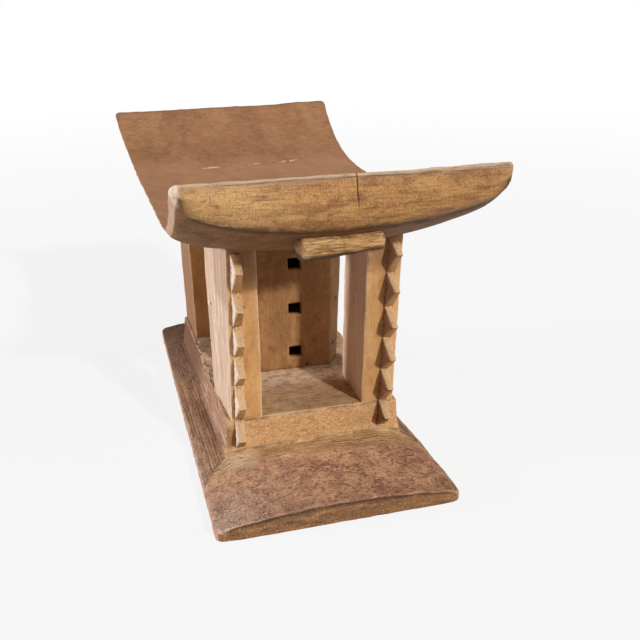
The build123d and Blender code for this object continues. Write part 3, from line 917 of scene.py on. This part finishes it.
def baseShape(values):
    reach, half = values["reach"], values["half"]

    def rimAt(size, more):
        # the four corners are rounded more than the edges between them
        return lambda insetX, insetY, y: size + more * unit(1 - np.hypot(insetX, insetY) / 24)

    rims = [rimAt(size, more) for size, more in zip(values["rims"], (3, 2))]
    points, faces, marks = block(values, (-reach, reach), (-half, half), 0, baseTop, rims=rims)
    x, y, z = points.T
    share = z / np.maximum(baseTop(x, y), 1)
    # under the top edge of each end a shallow hollow runs along, so that the edge stands out as a lip
    x = x - np.sign(x) * values["lip"] * bell(share, 0.84, 0.09) * marks["tip"]
    y = y + values["waist"] * bell(x, -90, 80) * unit(-y / half)
    y = y - (0.5 + values["taper"] * x / 200) * unit(y / half)
    # how far a point is from the plinth's foot
    awayX, awayY = abs(x) - values["foot"], abs(y) - values["footHalf"]
    away = np.maximum(awayX, awayY)
    longWay = unit((awayY - awayX) / 4 + 0.5)
    marks |= {
        "away": away,
        "longSlope": longWay,
        "byPlinth": unit(1.25 - np.maximum(away, 0) / 30) * (1 - longWay),
        "darker": ramp(x, 40, 160),
        "outward": unit((abs(x) - 245) / 40 + np.clip((y - 60) / 90, 0, 0.4)) * (1 - longWay),
        "mitre": (x < 0) * bell(awayY, awayX, 1.2) * ramp(away, 34, 26),
        "lines": ramp(away, 30, 22) * ramp(away, 3, 6) * (1 - longWay),
        "bloom": np.exp(-np.hypot(x + 275, y - 118) / 38),
        "underLip": bell(share, 0.85, 0.10) * marks["tip"],
        "lipEdge": bell(share, 0.99, 0.035) * marks["tip"],
        "sideEdge": marks["edge"] * marks["rim"] * ramp(abs(y), 120, 128),
    }
    points = np.stack([x, y, z], 1)
    points[:, 2] += grain(points, values["grain"]) * marks["lid"] * ramp(away, 0, 6)
    points[:, 0] += grain(points, values["endGrain"]) * marks["tip"]
    return points, faces, marks


print("base")
addPiece("base", baseShape(base), coated("base wood", (190, 138, 106), baseCoats, 0.76))

lug = dict(
    near=237.5, far=279.5, half=39, bottom=274.3, top=305,
    corner=11, rims=(4.5, 4.5), steps=(2.0, 2.0), rows=60,
    slim=0.64, taper=0.08, sag=0.85, slope=2.2, longer=3.0,
    front=262,                         # the outer face starts here
    split=(-1.1, 0.45, 1.0),           # y, half width and depth of the crack across it
    grain=[(0.3, 18, 18)],
    grooves=[(0.22, 6, 17)], stretch=(0.3, 0.22, 1),
)

lugCoats = [
    coat("", (226, 178, 112), 0.7, (14, 40, 5), (0.42, 0.62)),
    coat("", (146, 98, 54), 0.75, (12, 34, 3.5), (0.48, 0.64)),
    coat("", (104, 66, 34), 0.6, (5, 36, 1.2), (0.5, 0.64), -0.3, bend=0.2),
    coat("", (66, 40, 22), 0.75, (6, 60, 3), (0.96, 0.99), -0.4, vein=True, bend=0.2),
    coat("", (250, 212, 148), 0.6, (6, 22, 1.6), (0.54, 0.66), 0.15),
    coat("side", (176, 126, 90), 0.9),
    coat("side", (120, 80, 54), 0.6, 5, (0.48, 0.66), -0.2),
    # painted shade on the underside of the bar
    coat("low", (64, 38, 20), 0.95, (9, 20, 9), (0.1, 0.4)),
    coat("split", (58, 36, 22), 1),
    coat("edge", (238, 204, 156), 0.4, 9, (0.4, 0.6), off="low"),
] + pores(0.3)


def lugShape(values):
    # the bar's cross-section is the block's plan, and its length is the block's height
    bottom, top, half = values["bottom"], values["top"], values["half"]
    points, faces, marks = block(values, (values["near"], values["far"]), (bottom, top), -half, half)
    x, z, y = points.T
    # the underside of the bar, where shade is painted
    low = ramp(z, bottom + 12, bottom + 9)
    # the bar is slimmer than its housing and tapers towards the front
    middle = (bottom + top) / 2
    taper = values["slim"] + values["taper"] * y / half
    z = middle + (z - middle) * taper - values["sag"] - values["slope"] * y / half
    y = y - values["longer"] * unit(-y / half)
    crackY, wide, depth = values["split"]
    outside = x > values["front"]
    split = unit(1.4 - abs(y - crackY) / wide) * ramp(z, 284, 287) * outside
    grooves = grain(np.stack([x, y, z], 1) * values["stretch"], values["grooves"])
    x = x - depth * split + grooves * outside
    z = z + grain(points, values["grain"])
    return np.stack([x, y, z], 1), faces[:, ::-1], {"edge": marks["edge"], "split": split, "low": low}


print("lugs")
lugWood = coated("lug wood", (190, 140, 84), lugCoats, 0.62)
for name, sign in (("lug_right", 1), ("lug_left", -1)):
    addPiece(name, mirrored(lugShape(lug), sign, 1), lugWood)

column = dict(
    halfDepth=55, halfWidth=70, face=41, side=36, wall=12, round=7, bottom=70.5,
    frontWider=3.0, frontFace=56, spread=(3.2, 160, 80), top=262.0, fitted=230, step=3.0,
    holes=(94.5, 151.5, 209.0), holeWide=17.0, holeTall=14.5, holeShift=-10.2,
)

columnCoats = [
    coat("", (182, 134, 84), 0.7, (26, 22, 40), (0.42, 0.62)),
    coat("", (132, 92, 56), 0.55, (16, 12, 18), (0.5, 0.68), bend=0.8),
    coat("", (126, 86, 50), 0.4, (9, 11, 7), (0.92, 0.98), -0.1, vein=True, bend=1.5),
    coat("", (128, 86, 52), 0.45, (2.4, 2.4, 50), (0.5, 0.7), -0.1),
    coat("", (116, 76, 46), 0.5, (5, 5, 70), (0.52, 0.68), off="end"),
    # painted light on the upper part of the front chamfer, where light passes beside the near post
    coat("left chamfer", (190, 146, 92), 0.7, off="end"),
    coat("", (108, 72, 44), 0.3, (7, 7, 12), (0.58, 0.7)),
    # painted shade at the foot and under the seat
    coat("hem", (100, 68, 42), 0.8, 9, (0.35, 0.55)),
    coat("rim", (84, 54, 32), 0.85, 9, (0.3, 0.5)),
    # star-shaped checks, and dark marks at the foot
    coat("left", (50, 32, 20), 0.9, 4, (4.5, 6.0), -0.5, spot=(0, -61, 98), arms=5, wide=0.9,
         jitter=1),
    coat("left", (50, 32, 20), 0.9, 4, (2.8, 3.8), -0.5, spot=(0, -66, 156), arms=5, wide=0.8,
         jitter=1),
    coat("", (74, 40, 24), 0.7, 2, (1.4, 3.0), -0.3, spot=(-55, -24, 76), jitter=5.0),
] + pores(0.22)


def columnOutline(values):
    # straight runs with stations at the holes' sides, joined by arcs that round each corner
    a, b, f, s, r = (values[k] for k in ("halfDepth", "halfWidth", "face", "side", "round"))
    front, frontFace = b + values["frontWider"], values["frontFace"]
    corners = [(a, -frontFace), (a, f), (s, b), (-s, b), (-a, f), (-a, -frontFace), (-s, -front), (s, -front)]
    corners = np.array(corners, float)
    ways = np.roll(corners, -1, 0) - corners
    ways /= np.hypot(*ways.T)[:, None]
    before = np.roll(ways, 1, 0)
    turns = np.arccos(np.clip((before * ways).sum(1), -1, 1))
    cuts = r * np.tan(turns / 2)
    points, normals = [], []
    for index, way in enumerate(ways):
        after = (index + 1) % len(ways)
        inNormal = np.array([before[index][1], -before[index][0]])
        centre = corners[index] - before[index] * cuts[index] - inNormal * r
        angles = math.atan2(inNormal[1], inNormal[0]) + np.linspace(0, turns[index], 6)
        arc = np.stack([np.cos(angles), np.sin(angles)], 1)
        start = corners[index] + way * cuts[index]
        length = np.hypot(*(corners[after] - way * cuts[after] - start))
        places = np.linspace(0, length, int(length / values["step"]) + 2)[1:-1]
        if abs(way[1]) > 0.99:
            sides = [(values["holeShift"] + d * values["holeWide"] / 2 - start[1]) / way[1] for d in (-1, 1)]
            places = np.sort([p for p in places if min(abs(p - q) for q in sides) > 1.0] + sides)
        points += [centre + r * arc, start + way * places[:, None]]
        normals += [arc, np.repeat([[way[1], -way[0]]], len(places), 0)]
    return np.concatenate(points), np.concatenate(normals)


def columnShape(values):
    # outer and inner walls on the same stations: cells inside a hole are left out of both, and a
    # quad joins the walls wherever a kept cell has no kept neighbour
    outline, normals = columnOutline(values)
    fitted, holeTall = values["fitted"], values["holeTall"]
    levels = [height + side * holeTall / 2 for height in values["holes"] for side in (-1, 1)]
    levels = [values["bottom"], *levels, values["top"]]
    runs = zip(levels[:-1], levels[1:])
    runs = [np.linspace(a, b, max(2, int((b - a) / values["step"]) + 1)) for a, b in runs]
    zs = np.unique(np.concatenate(runs))
    count, rows = len(outline), len(zs)
    walls = []
    for inset in (0, values["wall"]):
        # above the fitted height the rows spread up to the seat's underside
        x, y = (outline - normals * inset).T[:, :, None]
        spread = (zs - fitted) / (zs[-1] - fitted) * (seatUnder(x, y) + 3 - fitted)
        z = np.where(zs > fitted, fitted + spread, zs)
        # the front of the column widens upwards by spread: so much about a height, over so many more
        more, level, run = values["spread"]
        wider = more * (z - level) / run * ramp(-y, 45, 70)
        walls.append(np.stack([x + 0 * z, y - wider, z], -1).reshape(-1, 3))
    ids = np.arange(2 * count * rows).reshape(2, count, rows)
    ids = np.concatenate([ids, ids[:, :1]], 1)
    middle, midZ = (outline + np.roll(outline, -1, 0)) / 2, (zs[:-1] + zs[1:]) / 2
    across = abs(middle[:, 1] - values["holeShift"]) < values["holeWide"] / 2
    across &= abs(middle[:, 0]) > values["halfDepth"] - 1
    upright = np.any([abs(midZ - height) < holeTall / 2 for height in values["holes"]], 0)
    keep = ~(across[:, None] & upright)
    padded = np.pad(keep, ((0, 0), (1, 1)))

    # a quad per cell. Each corner is its wall, and its steps along the outline and up from the cell
    def quads(cells, *corners):
        along, up = np.nonzero(cells)
        return np.stack([ids[wall, along + ahead, up + over] for wall, ahead, over in corners], -1)

    faces = np.concatenate([
        quads(keep, (0, 0, 0), (0, 1, 0), (0, 1, 1), (0, 0, 1)),
        quads(keep, (1, 0, 0), (1, 0, 1), (1, 1, 1), (1, 1, 0)),
        quads(padded[:, 1:] & ~padded[:, :-1], (0, 0, 0), (1, 0, 0), (1, 1, 0), (0, 1, 0)),
        quads(~padded[:, 1:] & padded[:, :-1], (0, 0, 0), (0, 1, 0), (1, 1, 0), (1, 0, 0)),
        quads(keep & ~np.roll(keep, 1, 0), (0, 0, 0), (0, 0, 1), (1, 0, 1), (1, 0, 0)),
        quads(~keep & np.roll(keep, 1, 0), (0, 0, 0), (1, 0, 0), (1, 0, 1), (0, 0, 1)),
    ])
    used, faces = np.unique(faces, return_inverse=True)
    points = np.concatenate(walls)[used]
    x, y, z = points.T
    marks = {
        "edge": np.zeros(len(z)),
        # hem and rim: where shade is painted at the foot and under the seat
        "hem": np.exp(-(z - plinth["top"]) / 3),
        "rim": np.exp(-(seatUnder(x, y) - z) / 6),
        # where light is painted on the front chamfer
        "chamfer": ramp(-y, 54, 58) * ramp(z, 100, 160),
    }
    return points, faces.reshape(-1, 4), marks


print("column")
columnWood = coated("column wood", (160, 116, 72), columnCoats, 0.68)
addPiece("centre_column", columnShape(column), columnWood)

lights = dict(
    key=dict(towards=(-1, -0.39, 0.583), spread=3.5, level=2.2, colour=(1, 0.985, 0.96)),
    side=dict(towards=(0.12, 1, 0.20), spread=12, level=2.4, colour=(1, 0.99, 0.98)),
    fill=dict(towards=(-0.35, -1, 0.35), spread=30, level=0.75, colour=(1, 0.98, 0.95)),
)


def addLight(name, values):
    data = bpy.data.lights.new(name, "SUN")
    data.angle = math.radians(values["spread"])
    data.energy = values["level"]
    data.color = values["colour"]
    lamp = addObject(name, data)
    way = Vector(values["towards"]).normalized()
    lamp.rotation_euler = way.to_track_quat("Z", "Y").to_euler()
    lamp.location = way * 3


stage = dict(half=30, grey=0.8, roughness=0.9, white=0.84, fade=(700, 4000), world=0.13)


def addStage(values):
    # the floor is lit, keeps the shadow, and turns white for the camera with distance from the stool
    mesh = bpy.data.meshes.new("floor")
    corners = [(x * values["half"], y * values["half"], 0) for x, y in ((-1, -1), (1, -1), (1, 1), (-1, 1))]
    mesh.from_pydata(corners, [], [(0, 1, 2, 3)])
    mesh.materials.append(bpy.data.materials.new("floor"))
    recipe = Recipe(mesh.materials[0])
    grey = (values["grey"],) * 3
    recipe.feedNode("Principled BSDF", {"Base Color": grey, "Roughness": values["roughness"]})
    x, y, _ = recipe.parts("Object")
    away = (x * x + y * y).root() * 1000.0
    white = away.rise(*values["fade"]) * (1 - values["white"]) + values["white"]
    seen = recipe.add("ShaderNodeLightPath", output="Is Camera Ray") * white
    glow = recipe.add("ShaderNodeEmission", None, {"Color": (1, 1, 1), "Strength": 1.0})
    lit = Wire(recipe, recipe.tree.nodes["Principled BSDF"].outputs[0])
    mixed = recipe.add("ShaderNodeMixShader", None, {0: seen, 1: lit, 2: glow})
    recipe.feedNode("Material Output", {"Surface": mixed})
    floor = addObject("floor", mesh)


def addWorld(values):
    bpy.context.scene.world = bpy.data.worlds.new("studio")
    recipe = Recipe(bpy.context.scene.world)
    seen = recipe.add("ShaderNodeLightPath", output="Is Camera Ray")
    level = recipe.add("ShaderNodeMapRange", None, {"Value": seen, "To Min": values["world"], "To Max": 1.0})
    recipe.feedNode("Background", {"Color": (1, 1, 1), "Strength": level})


print("lights")
for name, values in lights.items():
    addLight(name, values)
addStage(stage)
addWorld(stage)
bpy.context.scene.view_settings.view_transform = "Standard"
